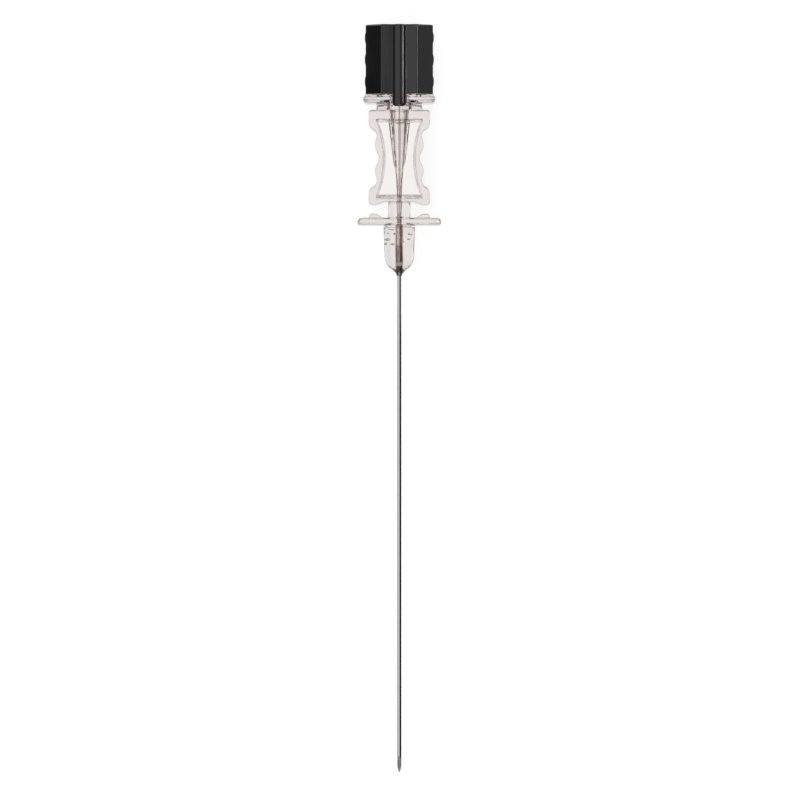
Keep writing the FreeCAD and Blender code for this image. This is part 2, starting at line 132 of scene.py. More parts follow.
# %% Clear moulded polycarbonate
POLYCARBONATE_IOR = 1.585
POLYCARBONATE_TINT = "#9e7661"
TINT_DENSITY = 30.0
FLOW_LENGTH = 2.2 * MM
POLISH_GRAIN = 0.25 * MM
RIPPLE_HEIGHT = 0.004 * MM


def make_clear_polycarbonate():
    """Clear moulded polycarbonate: high polish, slow ripples and a tint that gathers with depth."""
    material, tree, place = start_material("clear_polycarbonate")
    flow = add(tree, "ShaderNodeTexNoise", Vector=place, Scale=1 / FLOW_LENGTH, Detail=2.0, Roughness=0.4)
    polish = add(tree, "ShaderNodeTexNoise", Vector=place, Scale=1 / POLISH_GRAIN, Detail=3.0)
    roughness = add(
        tree, "ShaderNodeMapRange", Value=polish.outputs["Fac"],
        From_Min=0.35, From_Max=NOISE_HIGH, To_Min=0.01, To_Max=0.05,
    )
    ripple = add(
        tree, "ShaderNodeBump", Height=flow.outputs["Fac"], Strength=0.35, Distance=RIPPLE_HEIGHT,
    )
    surface = add(
        tree, "ShaderNodeBsdfPrincipled", Base_Color=linear("#f5f2f1"), IOR=POLYCARBONATE_IOR,
        Transmission_Weight=1.0, Roughness=roughness.outputs[0], Normal=ripple.outputs[0],
    )
    volume = add(
        tree, "ShaderNodeVolumeAbsorption", Color=linear(POLYCARBONATE_TINT), Density=TINT_DENSITY,
    )
    finish_material(tree, surface, volume)
    return material


clear_polycarbonate = make_clear_polycarbonate()
print("made", clear_polycarbonate.name)

# %% [markdown]
# Each added piece ends as one object at the origin, in one material. Its faces are shaded smooth, so that
# round stretches look round, and only edges sharper than a given angle still break the shading. Two
# helpers do this for every piece that is shaped as a bmesh, Blender's mesh for editing by script.

# %% Helpers for pieces
def place_object(name, data):
    """An object of the scene that holds a mesh, a lamp or a camera."""
    placed = bpy.data.objects.new(name, data)
    bpy.context.scene.collection.objects.link(placed)
    return placed


def shaped_piece(name, mesh, material, sharp_angle):
    """An object from a bmesh, in one material, smooth but for edges sharper than an angle."""
    data = bpy.data.meshes.new(name)
    mesh.to_mesh(data)
    mesh.free()
    data.materials.append(material)
    data.polygons.foreach_set("material_index", [0] * len(data.polygons))
    data.polygons.foreach_set("use_smooth", [True] * len(data.polygons))
    data.set_sharp_from_angle(angle=sharp_angle)
    return place_object(name, data)


# %% [markdown]
# A mould's edges are never quite sharp, and on clear plastic that shows: a rounded edge gathers light
# into a soft line, where a sharp one only cuts what lies behind. The solids keep such edges plain to stay
# light. A Bevel modifier would round them, but a solid's mesh is loose triangles that share no edge, and
# not every edge may be rounded. So a copy of the mesh is merged, flat stretches become one face each, and
# the edges that are sharp are rounded, but for those that a test leaves out. The new points don't slide
# along the old edges, because flat faces with many corners would then fold over themselves and show as
# black bands. Normals weighted by area keep flat faces flat next to the new round ones.

# %% Rounded edges
EDGE_STEPS = 3
ROUND_PROFILE = 0.5
SHARP_ANGLE = math.radians(32)
FLAT_ANGLE = math.radians(0.5)
MERGE_DISTANCE = 0.002 * MM


def settle(piece):
    """Makes what a piece's modifiers grow its plain mesh."""
    depsgraph = bpy.context.evaluated_depsgraph_get()
    data = bpy.data.meshes.new_from_object(piece.evaluated_get(depsgraph), depsgraph=depsgraph)
    data.name = piece.name
    piece.modifiers.clear()
    piece.data = data


def rounded_copy(name, source, material, radius, stays_sharp):
    """A merged copy of a solid with its sharp edges rounded, but for those that a test leaves out."""
    mesh = bmesh.new()
    mesh.from_mesh(source.data)
    bmesh.ops.remove_doubles(mesh, verts=mesh.verts, dist=MERGE_DISTANCE)
    bmesh.ops.dissolve_limit(mesh, angle_limit=FLAT_ANGLE, verts=mesh.verts, edges=mesh.edges)
    sharp = [
        edge for edge in mesh.edges
        if edge.is_manifold and edge.calc_face_angle() > SHARP_ANGLE and not stays_sharp(edge)
    ]
    bmesh.ops.bevel(
        mesh, geom=sharp, offset=radius, offset_type="OFFSET", segments=EDGE_STEPS, profile=ROUND_PROFILE,
        affect="EDGES", clamp_overlap=False, miter_outer="ARC", loop_slide=False,
    )
    open_edges = sum(1 for edge in mesh.edges if not edge.is_manifold)
    piece = shaped_piece(name, mesh, material, SHARP_ANGLE)
    weigh = piece.modifiers.new("weigh", "WEIGHTED_NORMAL")
    weigh.mode = "FACE_AREA_WITH_ANGLE"
    weigh.keep_sharp = True
    settle(piece)
    print(name, "faces", len(piece.data.polygons), "sharp edges", len(sharp), "open edges", open_edges)
    return piece

# %% [markdown]
# The hub is the piece that gains most from it, since every edge of the clear moulding draws a line in the
# picture. The passage inside is left sharp, because the tube and the stylet's plug fit there. So is the
# foot of the upper neck: only 0.15 mm lies between it and the rim of the body, and two roundings don't fit
# side by side on that.

# %% The moulded hub
HUB_ROUND = 0.14 * MM
BORE_R = 1.2 * MM
SOCKET_R = 2.3 * MM
SOCKET_LOW_Y = 27.45 * MM
NECK_FOOT_Y = 29.2 * MM
NECK_FOOT_R = 4.1 * MM
LEVEL_SLACK = 0.01 * MM
# The passage reaches as far from the axis as BORE_R, and as SOCKET_R above the level SOCKET_LOW_Y.


def off_axis(vertex):
    """How far a vertex lies from the needle's axis."""
    return math.hypot(vertex.co.x, vertex.co.z)


def hub_stays_sharp(edge):
    """True for an edge of the passage through the hub, or of the foot of the upper neck."""
    at_foot = all(abs(v.co.y - NECK_FOOT_Y) < LEVEL_SLACK for v in edge.verts)
    if at_foot and max(off_axis(v) for v in edge.verts) < NECK_FOOT_R:
        return True
    return all(off_axis(v) <= (SOCKET_R if v.co.y > SOCKET_LOW_Y else BORE_R) for v in edge.verts)


moulded_hub = rounded_copy("moulded_hub", nodes["hub"], clear_polycarbonate, HUB_ROUND, hub_stays_sharp)

# %% [markdown]
# The stylet's handle is moulded in black, a hard ABS from a polished mould. Black plastic shows itself
# almost only by its gloss, so the colour stays a plain near-black with a slight cloud in it, and the
# work is in the surface: a fine grain, and slightly duller patches where fingers and trays have rubbed.

# %% Black moulded plastic
ABS_IOR = 1.5
HANDLE_GRAIN = 0.12 * MM
GRAIN_HEIGHT = 0.002 * MM
HANDLE_WEAR = 3.0 * MM


def make_black_abs():
    """Black moulded ABS: gloss broken by a fine grain and by soft worn patches."""
    material, tree, place = start_material("black_abs")
    grain = add(tree, "ShaderNodeTexNoise", Vector=place, Scale=1 / HANDLE_GRAIN, Detail=4.0)
    wear = add(tree, "ShaderNodeTexNoise", Vector=place, Scale=1 / HANDLE_WEAR, Detail=3.0)
    colour = add(
        tree, "ShaderNodeMix", {"data_type": "RGBA"}, Factor=wear.outputs["Fac"],
        _6=linear("#1e1e1f"), _7=linear("#262627"),
    )
    roughness = add(
        tree, "ShaderNodeMapRange", Value=wear.outputs["Fac"],
        From_Min=NOISE_LOW, From_Max=NOISE_HIGH, To_Min=0.1, To_Max=0.16,
    )
    bump = add(
        tree, "ShaderNodeBump", Height=grain.outputs["Fac"], Strength=0.1, Distance=GRAIN_HEIGHT,
    )
    surface = add(
        tree, "ShaderNodeBsdfPrincipled", Base_Color=colour.outputs[2], IOR=ABS_IOR,
        Roughness=roughness.outputs[0], Normal=bump.outputs[0],
    )
    finish_material(tree, surface)
    return material


black_abs = make_black_abs()
print("made", black_abs.name)

# %% [markdown]
# The key on the front of the handle, which sits in the hub's keyway, ends in a full round on the real
# moulding. The solid keeps its end plain, and the same helper rounds it, with a larger radius. All other
# edges of the handle are as the solid has them.

# %% The moulded handle
KEY_ROUND = 0.45 * MM
KEY_END_BAND = 0.02 * MM
KEY_INNER_Z = 3.4 * MM
# Of all that lies in front of the level KEY_INNER_Z, the key reaches lowest.
key_end_y = min(v.co.y for v in nodes["stylet_cap"].data.vertices if v.co.z > KEY_INNER_Z)


def off_key_end(edge):
    """True for every edge that isn't round the end of the key."""
    return any(v.co.y > key_end_y + KEY_END_BAND or v.co.z < KEY_INNER_Z for v in edge.verts)


moulded_cap = rounded_copy("moulded_cap", nodes["stylet_cap"], black_abs, KEY_ROUND, off_key_end)
print("key ends at mm", round(key_end_y / MM, 2))

# %% [markdown]
# The needle's point was ground on a wheel, once straight and twice from the sides, through the tube and
# the wire in it together. Its faces look duller than the drawn steel. They could be pieces of their own,
# but then their borders would have to be cut into the solid. A material can find them by place instead:
# a ground face is where the distance from the plane of its grind is nothing.

# %% Where the point is ground
GRIND_LENGTH = 2.93 * MM
LANCET_TURN = math.radians(38)
LANCET_ANGLE = math.radians(19)
FACE_MARGIN = 0.012 * MM


def grind_planes():
    """Normals of the three grinds, which all pass through the point."""
    slope = math.atan2(2 * cannula_r, GRIND_LENGTH)
    planes = []
    for turn, angle in ((0.0, slope), (LANCET_TURN, LANCET_ANGLE), (-LANCET_TURN, LANCET_ANGLE)):
        up = Vector((0.0, -math.sin(angle), math.cos(angle)))
        planes.append(Vector((up.z * math.sin(turn), up.y, up.z * math.cos(turn))))
    return planes


def ground_faces(tree, place):
    """A socket that is 1 on the ground faces of the point and 0 elsewhere."""
    tip = Vector((0.0, point_y, -cannula_r))
    from_tip = add(tree, "ShaderNodeVectorMath", {"operation": "SUBTRACT"}, _0=place, _1=tip)
    ground = 0.0
    for normal in grind_planes():
        height = add(
            tree, "ShaderNodeVectorMath", {"operation": "DOT_PRODUCT"}, _0=from_tip.outputs[0], _1=normal,
        )
        on_face = add(
            tree, "ShaderNodeMath", {"operation": "COMPARE"}, _0=height.outputs["Value"],
            _1=0.0, _2=FACE_MARGIN,
        )
        ground = add(
            tree, "ShaderNodeMath", {"operation": "MAXIMUM"}, _0=ground, _1=on_face.outputs[0],
        ).outputs[0]
    return ground


slopes = [round(90 - math.degrees(math.asin(normal.z)), 1) for normal in grind_planes()]
print("ground faces lean by degrees", slopes)

# %% [markdown]
# The stretch of the tube that sits in the adhesive is blasted with grit, so that the adhesive grips it.
# It lies between two levels. A border at a plain level would be a sharp ring, which blasting never leaves,
# so some of the grit's own noise is added to the level before it is compared.

# %% Where the tube is blasted
BLASTED_END_Y = 5.4 * MM
BLAST_GRAIN = 0.06 * MM
BLAST_RAGGED = 1.2 * MM


def blasted_stretch(tree, place):
    """A socket that is 1 on the blasted stretch of the tube and 0 elsewhere."""
    grit = add(tree, "ShaderNodeTexNoise", Vector=place, Scale=1 / BLAST_GRAIN, Detail=3.0)
    level = add(tree, "ShaderNodeSeparateXYZ", Vector=place).outputs["Y"]
    ragged = add(
        tree, "ShaderNodeMath", {"operation": "MULTIPLY_ADD"},
        _0=grit.outputs["Fac"], _1=BLAST_RAGGED, _2=level,
    )
    above = add(
        tree, "ShaderNodeMath", {"operation": "GREATER_THAN"}, _0=ragged.outputs[0], _1=BLAST_RAGGED / 2,
    )
    below = add(
        tree, "ShaderNodeMath", {"operation": "LESS_THAN"},
        _0=ragged.outputs[0], _1=BLASTED_END_Y + BLAST_RAGGED / 2,
    )
    return add(
        tree, "ShaderNodeMath", {"operation": "MULTIPLY"}, _0=above.outputs[0], _1=below.outputs[0],
    ).outputs[0]


print("blasted up to mm", round(BLASTED_END_Y / MM, 1))

# %% [markdown]
# The tube and the wire are drawn stainless steel, pulled through a die and then polished. Drawing leaves
# lines along them, so the pattern is a noise stretched along Y. The wheel leaves short lines straight
# across on the ground faces, so there the noise is stretched the other way. Both are finer on a real
# needle, and they are drawn as coarse as they need to show. The blasted stretch is paler and dull.

# %% Drawn and ground steel
DRAW_LINE = 0.05 * MM
DRAW_STRETCH = 60.0
WHEEL_LINE = 0.06 * MM
WHEEL_STRETCH = 25.0
LINE_HEIGHT = 0.002 * MM
GROUND_ROUGHNESS = 0.26
BLASTED_ROUGHNESS = 0.35


def make_steel(name, hex_colour, low_roughness, high_roughness):
    """Stainless steel, drawn along its length, ground at its point and blasted under the adhesive."""
    material, tree, place = start_material(name)
    along = add(tree, "ShaderNodeMapping", Vector=place, Scale=(1.0, 1 / DRAW_STRETCH, 1.0))
    draw = add(tree, "ShaderNodeTexNoise", Vector=along.outputs[0], Scale=1 / DRAW_LINE, Detail=4.0)
    across = add(tree, "ShaderNodeMapping", Vector=place, Scale=(1 / WHEEL_STRETCH, 1.0, 1 / WHEEL_STRETCH))
    wheel = add(tree, "ShaderNodeTexNoise", Vector=across.outputs[0], Scale=1 / WHEEL_LINE, Detail=3.0)
    ground = ground_faces(tree, place)
    blasted = blasted_stretch(tree, place)
    lines = add(
        tree, "ShaderNodeMix", Factor=ground, _2=draw.outputs["Fac"], _3=wheel.outputs["Fac"],
    )
    bright = add(
        tree, "ShaderNodeMix", {"data_type": "RGBA"}, Factor=lines.outputs[0],
        _6=linear(hex_colour), _7=linear("#e2e0de"),
    )
    colour = add(
        tree, "ShaderNodeMix", {"data_type": "RGBA"}, Factor=blasted,
        _6=bright.outputs[2], _7=linear("#b3aaa6"),
    )
    drawn = add(
        tree, "ShaderNodeMapRange", Value=lines.outputs[0],
        From_Min=NOISE_LOW, From_Max=NOISE_HIGH, To_Min=low_roughness, To_Max=high_roughness,
    )
    wheeled = add(tree, "ShaderNodeMix", Factor=ground, _2=drawn.outputs[0], _3=GROUND_ROUGHNESS)
    roughness = add(tree, "ShaderNodeMix", Factor=blasted, _2=wheeled.outputs[0], _3=BLASTED_ROUGHNESS)
    bump = add(
        tree, "ShaderNodeBump", Height=lines.outputs[0], Strength=0.3, Distance=LINE_HEIGHT,
    )
    surface = add(
        tree, "ShaderNodeBsdfPrincipled", Base_Color=colour.outputs[2], Metallic=1.0,
        Roughness=roughness.outputs[0], Normal=bump.outputs[0],
    )
    finish_material(tree, surface)
    return material


tube_steel = make_steel("drawn_stainless_tube", "#c9c7c5", 0.08, 0.18)
wire_steel = make_steel("drawn_stainless_wire", "#d2d0ce", 0.08, 0.16)
print("made", tube_steel.name, wire_steel.name)

# %% [markdown]
# The cannula is glued into the nose with a clear adhesive that cures to a light brown. It looks darker
# the more of it lies behind one spot, so its brown is in the volume again, and the same recipe with less
# of it makes the thin film higher up. Runs that flowed along the tube are a noise stretched along Y.

# %% Cured adhesive
ADHESIVE_IOR = 1.52
ADHESIVE_TINT = "#997c73"
GLUE_CLOUD = 0.5 * MM
GLUE_CLOUD_HEIGHT = 0.01 * MM
GLUE_STREAK = 0.3 * MM
GLUE_STREAK_SQUEEZE = 0.12
GLUE_DENSITY = 1600.0
FILM_DENSITY = 350.0


def make_cured_adhesive(name, density):
    """Cured adhesive of a given strength of brown, with slight clouds and with runs along the tube."""
    material, tree, place = start_material(name)
    cloud = add(tree, "ShaderNodeTexNoise", Vector=place, Scale=1 / GLUE_CLOUD, Detail=3.0)
    roughness = add(
        tree, "ShaderNodeMapRange", Value=cloud.outputs["Fac"],
        From_Min=NOISE_LOW, From_Max=NOISE_HIGH, To_Min=0.03, To_Max=0.12,
    )
    bump = add(
        tree, "ShaderNodeBump", Height=cloud.outputs["Fac"], Strength=0.4, Distance=GLUE_CLOUD_HEIGHT,
    )
    runs = add(tree, "ShaderNodeMapping", Vector=place, Scale=(1.0, GLUE_STREAK_SQUEEZE, 1.0))
    streak = add(tree, "ShaderNodeTexNoise", Vector=runs.outputs[0], Scale=1 / GLUE_STREAK, Detail=3.0)
    brown = add(
        tree, "ShaderNodeMapRange", Value=streak.outputs["Fac"],
        From_Min=0.52, From_Max=0.62, To_Min=0.0, To_Max=1.0,
    )
    colour = add(
        tree, "ShaderNodeMix", {"data_type": "RGBA"}, Factor=brown.outputs[0],
        _6=linear("#f7f3f1"), _7=linear("#c4b6b0"),
    )
    surface = add(
        tree, "ShaderNodeBsdfPrincipled", Base_Color=colour.outputs[2], IOR=ADHESIVE_IOR,
        Transmission_Weight=1.0, Roughness=roughness.outputs[0], Normal=bump.outputs[0],
    )
    volume = add(tree, "ShaderNodeVolumeAbsorption", Color=linear(ADHESIVE_TINT), Density=density)
    finish_material(tree, surface, volume)
    return material


cured_adhesive = make_cured_adhesive("cured_adhesive", GLUE_DENSITY)
thin_adhesive = make_cured_adhesive("thin_cured_adhesive", FILM_DENSITY)
print("made", cured_adhesive.name, thin_adhesive.name)

# %% [markdown]
# In the real joint the adhesive fills the gap, so no air lies between it and the plastic. A renderer shows
# that only if the adhesive's skin lies a hair inside the plastic: where two clear surfaces merely touch,
# light would meet a film of air. The solid's sleeve is therefore replaced by turned pieces that are a
# hundredth of a millimetre fatter. The lower one is full of adhesive, and it ends in the small hollow
# bead that is left where the tube comes out. The upper one is the thin film that was drawn in with the
# tube. They could be turned by a Screw modifier, but a loop that joins one ring of points to the next, and
# the last to the first, closes each piece without a seam.

# %% Sleeve and film of adhesive
GLUE_OVERLAP = 0.01 * MM
GLUE_FILL_Y = 5.2 * MM
BEAD_R = 0.43 * MM
BEAD_LENGTH = 0.16 * MM
BEAD_STEPS = 8
TURN_STEPS = 48
TURNED_SHARP_ANGLE = math.radians(40)
inner_r = cannula_r - GLUE_OVERLAP
outer_r = glue_r + GLUE_OVERLAP


def turned_piece(name, outline, material):
    """A closed piece turned about the Y axis from a closed outline of (radius, level) points."""
    mesh = bmesh.new()
    rings = []
    for step in range(TURN_STEPS):
        angle = math.tau * step / TURN_STEPS
        rings.append([mesh.verts.new((r * math.sin(angle), y, r * math.cos(angle))) for r, y in outline])
    for ring, following in zip(rings, rings[1:] + rings[:1]):
        for i in range(len(outline)):
            j = (i + 1) % len(outline)
            mesh.faces.new((ring[i], ring[j], following[j], following[i]))
    bmesh.ops.recalc_face_normals(mesh, faces=mesh.faces)
    return shaped_piece(name, mesh, material, TURNED_SHARP_ANGLE)


def sleeve_outline():
    """The full part's outline, with the hollow curve of the bead at its end."""
    outline = [(inner_r, GLUE_FILL_Y), (outer_r, GLUE_FILL_Y), (outer_r, GLUE_OVERLAP)]
    for step in range(BEAD_STEPS + 1):
        share = step / BEAD_STEPS * math.pi / 2
        r = cannula_r + (BEAD_R - cannula_r) * (1 - math.sin(share))
        outline.append((r, -BEAD_LENGTH * (1 - math.cos(share))))
    outline.append((inner_r, -BEAD_LENGTH))
    return outline


def film_outline():
    """The outline of the thin part above, up to where the tube ends."""
    low_y = GLUE_FILL_Y + GLUE_OVERLAP
    high_y = seat_y + GLUE_OVERLAP
    return [(inner_r, high_y), (outer_r, high_y), (outer_r, low_y), (inner_r, low_y)]


adhesive_sleeve = turned_piece("adhesive_sleeve", sleeve_outline(), cured_adhesive)
adhesive_film = turned_piece("adhesive_film", film_outline(), thin_adhesive)
print("adhesive faces", len(adhesive_sleeve.data.polygons), len(adhesive_film.data.polygons))

# %% [markdown]
# Adhesive that is run round a tube traps small bubbles, and the thick nose of a moulding holds a few
# larger voids, where it shrank as it cooled. They could be placed by hand, but what repeats at random is
# better left to Geometry Nodes: points are strewn in a round gap, each gets a small ball of its own size,
# and a fixed seed gives the same bubbles each time. One tree with named inputs serves both.

# %% A tree that strews bubbles
BALL_STEPS = 3
SMALLEST_SHARE = 0.4


def bubble_tree(material):
    """Geometry nodes that strew small balls in a round gap along the Y axis."""
    tree = bpy.data.node_groups.new("bubbles_in_gap", "GeometryNodeTree")
    tree.interface.new_socket("Geometry", in_out="OUTPUT", socket_type="NodeSocketGeometry")
    for name, kind in (
        ("Count", "NodeSocketInt"), ("Inner Radius", "NodeSocketFloat"), ("Outer Radius", "NodeSocketFloat"),
        ("Low", "NodeSocketFloat"), ("High", "NodeSocketFloat"), ("Bubble Radius", "NodeSocketFloat"),
        ("Seed", "NodeSocketInt"),
    ):
        tree.interface.new_socket(name, in_out="INPUT", socket_type=kind)
    given = add(tree, "NodeGroupInput").outputs
    points = add(tree, "GeometryNodePoints", Count=given["Count"])

    def random_value(offset, low, high):
        """A random number for each point, between a low and a high value or socket."""
        seed = add(tree, "ShaderNodeMath", _0=given["Seed"], _1=float(offset))
        return add(
            tree, "FunctionNodeRandomValue", {"data_type": "FLOAT"}, _2=low, _3=high, Seed=seed.outputs[0],
        ).outputs[1]

    angle = random_value(0, 0.0, math.tau)
    radius = random_value(1, given["Inner Radius"], given["Outer Radius"])
    level = random_value(2, given["Low"], given["High"])
    sine = add(tree, "ShaderNodeMath", {"operation": "SINE"}, _0=angle)
    cosine = add(tree, "ShaderNodeMath", {"operation": "COSINE"}, _0=angle)
    x = add(tree, "ShaderNodeMath", {"operation": "MULTIPLY"}, _0=radius, _1=sine.outputs[0])
    z = add(tree, "ShaderNodeMath", {"operation": "MULTIPLY"}, _0=radius, _1=cosine.outputs[0])
    place = add(tree, "ShaderNodeCombineXYZ", X=x.outputs[0], Y=level, Z=z.outputs[0])
    placed = add(tree, "GeometryNodeSetPosition", Geometry=points.outputs[0], Position=place.outputs[0])
    ball = add(tree, "GeometryNodeMeshIcoSphere", Radius=given["Bubble Radius"], Subdivisions=BALL_STEPS)
    size = random_value(3, SMALLEST_SHARE, 1.0)
    strewn = add(
        tree, "GeometryNodeInstanceOnPoints", Points=placed.outputs[0], Instance=ball.outputs["Mesh"],
        Scale=size,
    )
    real = add(tree, "GeometryNodeRealizeInstances", Geometry=strewn.outputs[0])
    smooth = add(tree, "GeometryNodeSetShadeSmooth", Geometry=real.outputs[0])
    done = add(tree, "GeometryNodeSetMaterial", Geometry=smooth.outputs[0], Material=material)
    add(tree, "NodeGroupOutput", Geometry=done.outputs[0])
    print("bubble tree nodes", len(tree.nodes))
    return tree

# %% [markdown]
# A bubble is air with plastic round it, so it bends light hard and mirrors much of it at its rim. The
# renderer takes every clear surface as one that faces air, and knows nothing of the plastic outside. A
# ball with a high index bends light about as hard, and shows the same bright middle in a dark ring.

# %% Skin of a bubble
BUBBLE_IOR = 2.2
BUBBLE_MOTTLE = 0.04 * MM


def make_bubble_film():
    """The skin of a bubble in plastic, which throws light back like a small mirror."""
    material, tree, place = start_material("bubble_film")
    mottle = add(tree, "ShaderNodeTexNoise", Vector=place, Scale=1 / BUBBLE_MOTTLE, Detail=2.0)
    roughness = add(
        tree, "ShaderNodeMapRange", Value=mottle.outputs["Fac"],
        From_Min=NOISE_LOW, From_Max=NOISE_HIGH, To_Min=0.02, To_Max=0.1,
    )
    surface = add(
        tree, "ShaderNodeBsdfPrincipled", Base_Color=linear("#f0e8e5"), IOR=BUBBLE_IOR,
        Transmission_Weight=1.0, Roughness=roughness.outputs[0],
    )
    finish_material(tree, surface)
    return material


bubble_film = make_bubble_film()
strewing = bubble_tree(bubble_film)

# %% [markdown]
# The tree is run twice, on an object that holds nothing else, and what it grows is kept as a plain mesh.
# The small bubbles lie in the middle of the adhesive's gap all along the tube. The larger voids lie
# round it in the upper half of the nose, where the moulding is thickest.

# %% Bubbles and voids
BUBBLE_COUNT = 26
BUBBLE_R = 0.045 * MM
BUBBLE_SPREAD = 0.2
BUBBLE_SEED = 7
VOID_COUNT = 18
VOID_R = 0.22 * MM
VOID_INNER_R = 1.2 * MM
VOID_OUTER_R = 2.3 * MM
VOID_LOW_Y = 5.4 * MM
VOID_HIGH_Y = 8.3 * MM
VOID_SEED = 5


def grown(name, tree, values):
    """The plain mesh that a geometry nodes tree makes with the given named inputs."""
    seed_object = place_object(name + "_source", bpy.data.meshes.new(name + "_source"))
    modifier = seed_object.modifiers.new("grow", "NODES")
    modifier.node_group = tree
    sockets = {item.name: item.identifier for item in tree.interface.items_tree if item.in_out == "INPUT"}
    for label, value in values.items():
        modifier[sockets[label]] = value
    depsgraph = bpy.context.evaluated_depsgraph_get()
    data = bpy.data.meshes.new_from_object(seed_object.evaluated_get(depsgraph), depsgraph=depsgraph)
    data.name = name
    bpy.data.objects.remove(seed_object)
    return place_object(name, data)


gap_middle = (cannula_r + glue_r) / 2
gap_spread = BUBBLE_SPREAD * (glue_r - cannula_r)
adhesive_bubbles = grown("adhesive_bubbles", strewing, {
    "Count": BUBBLE_COUNT,
    "Inner Radius": gap_middle - gap_spread,
    "Outer Radius": gap_middle + gap_spread,
    "Low": 0.0,
    "High": seat_y,
    "Bubble Radius": BUBBLE_R,
    "Seed": BUBBLE_SEED,
})
nose_voids = grown("nose_voids", strewing, {
    "Count": VOID_COUNT,
    "Inner Radius": VOID_INNER_R,
    "Outer Radius": VOID_OUTER_R,
    "Low": VOID_LOW_Y,
    "High": VOID_HIGH_Y,
    "Bubble Radius": VOID_R,
    "Seed": VOID_SEED,
})
print("bubble faces", len(adhesive_bubbles.data.polygons), "void faces", len(nose_voids.data.polygons))

# %% [markdown]
# The finishes now go into the solids' own material slots, and each added piece is tied to the body that
# it moves with: the rounded handle goes with the stylet, and all the rest stays with the needle. The two
# rounded copies stand for the solids that they were made from, and the sleeve and the film for the
# adhesive's solid, so those solids are hidden.

# %% Dress the solids
def dress(node, material):
    """Puts a finish in every slot of a CAD node."""
    for slot in nodes[node].material_slots:
        slot.material = material


dress("hub", clear_polycarbonate)
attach(moulded_hub, "needle")
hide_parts("hub")
dress("cannula", tube_steel)
dress("stylet_wire", wire_steel)
dress("stylet_cap", black_abs)
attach(moulded_cap, "stylet")
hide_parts("stylet_cap")
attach(nose_voids, "needle")
for piece in (adhesive_sleeve, adhesive_film, adhesive_bubbles):
    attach(piece, "needle")
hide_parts("adhesive_bond")
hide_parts("adhesive_bond")
print("solids in the frame", len(nodes))

# %% [markdown]
# Clear plastic and polished steel look like what surrounds them, so the floor will show each kind of ray
# something else. Rays that have passed through the plastic meet a white strip under the needle, with warm
# dark on both sides, as when dark boards lie beside a light table: that is where a clear moulding gets
# its dark outlines from. The strip's borders are soft, because a hard one would draw a line of its own.
# Meshes laid on the floor could make it, but they would show in every view, and a pattern shows only to
# the rays that it is meant for.

# %% The light strip under the needle
STRIP_GLOW = 1.0
STRIP_HALF_X = 8 * MM
STRIP_HALF_Y = 500 * MM
STRIP_FADE = 4 * MM
FLOOR_WARM = "#65554f"


def soft_patch(tree, level, *edges):
    """A level that fades to 0 over each edge, which is a value with a start and an end of the fade."""
    for value, start, end in edges:
        level = add(
            tree, "ShaderNodeMapRange", {"interpolation_type": "SMOOTHSTEP"}, Value=value,
            From_Min=start, From_Max=end, To_Min=level, To_Max=0.0,
        ).outputs[0]
    return level


def light_strip(tree, place):
    """What is seen through the plastic: white under the needle, and warm dark beside it."""
    plain = add(tree, "ShaderNodeVectorMath", {"operation": "ABSOLUTE"}, _0=place)
    off = add(tree, "ShaderNodeSeparateXYZ", Vector=plain.outputs[0]).outputs
    strip = soft_patch(
        tree, 1.0,
        (off["X"], STRIP_HALF_X, STRIP_HALF_X + STRIP_FADE),
        (off["Y"], STRIP_HALF_Y, STRIP_HALF_Y + STRIP_FADE),
    )
    colour = add(
        tree, "ShaderNodeMix", {"data_type": "RGBA"}, Factor=strip,
        _6=linear(FLOOR_WARM), _7=grey(STRIP_GLOW),
    )
    return add(tree, "ShaderNodeEmission", Color=colour.outputs[2])


print("light strip mm", round(2 * STRIP_HALF_X / MM, 1), "wide")

# %% [markdown]
# Rays that are mirrored by steel and by black plastic meet pale cards on a dark table: one along the
# needle's left side, one under the hub and the handle, and a dimmer one to the right of the handle. They
# light up the lower sides of the tube and of the handle, which would otherwise mirror nothing but the
# dark. Where two of them overlap, the brighter one counts.

# %% Cards that are mirrored
LEFT_CARD_GLOW = 0.45
LEFT_CARD_REACH = 40 * MM
LEFT_CARD_FADE = 2 * MM
HUB_CARD_GLOW = 0.8
HUB_CARD_HALF_X = 12 * MM
HUB_CARD_LOW_Y = -4 * MM
SIDE_CARD_GLOW = 0.4
SIDE_CARD_LOW_Y = 10 * MM


def mirrored_cards(tree, place):
    """What steel and black plastic mirror: pale cards to the left, under the hub and beside the handle."""
    at = add(tree, "ShaderNodeSeparateXYZ", Vector=place).outputs
    off_x = add(tree, "ShaderNodeMath", {"operation": "ABSOLUTE"}, _0=at["X"]).outputs[0]
    left = soft_patch(
        tree, LEFT_CARD_GLOW,
        (at["X"], 0.0, LEFT_CARD_FADE),
        (at["X"], -LEFT_CARD_REACH / 2, -LEFT_CARD_REACH),
    )
    under_hub = soft_patch(
        tree, HUB_CARD_GLOW,
        (off_x, HUB_CARD_HALF_X, 2 * HUB_CARD_HALF_X),
        (at["Y"], HUB_CARD_LOW_Y, 3 * HUB_CARD_LOW_Y),
    )
    beside_cap = soft_patch(
        tree, SIDE_CARD_GLOW,
        (at["X"], 2 * HUB_CARD_HALF_X, HUB_CARD_HALF_X),
        (at["Y"], 2 * SIDE_CARD_LOW_Y, SIDE_CARD_LOW_Y),
    )
    near = add(tree, "ShaderNodeMath", {"operation": "MAXIMUM"}, _0=under_hub, _1=beside_cap)
    every = add(tree, "ShaderNodeMath", {"operation": "MAXIMUM"}, _0=left, _1=near.outputs[0])
    return add(tree, "ShaderNodeEmission", Strength=every.outputs[0])


print("left card reaches mm", round(LEFT_CARD_REACH / MM, 1))

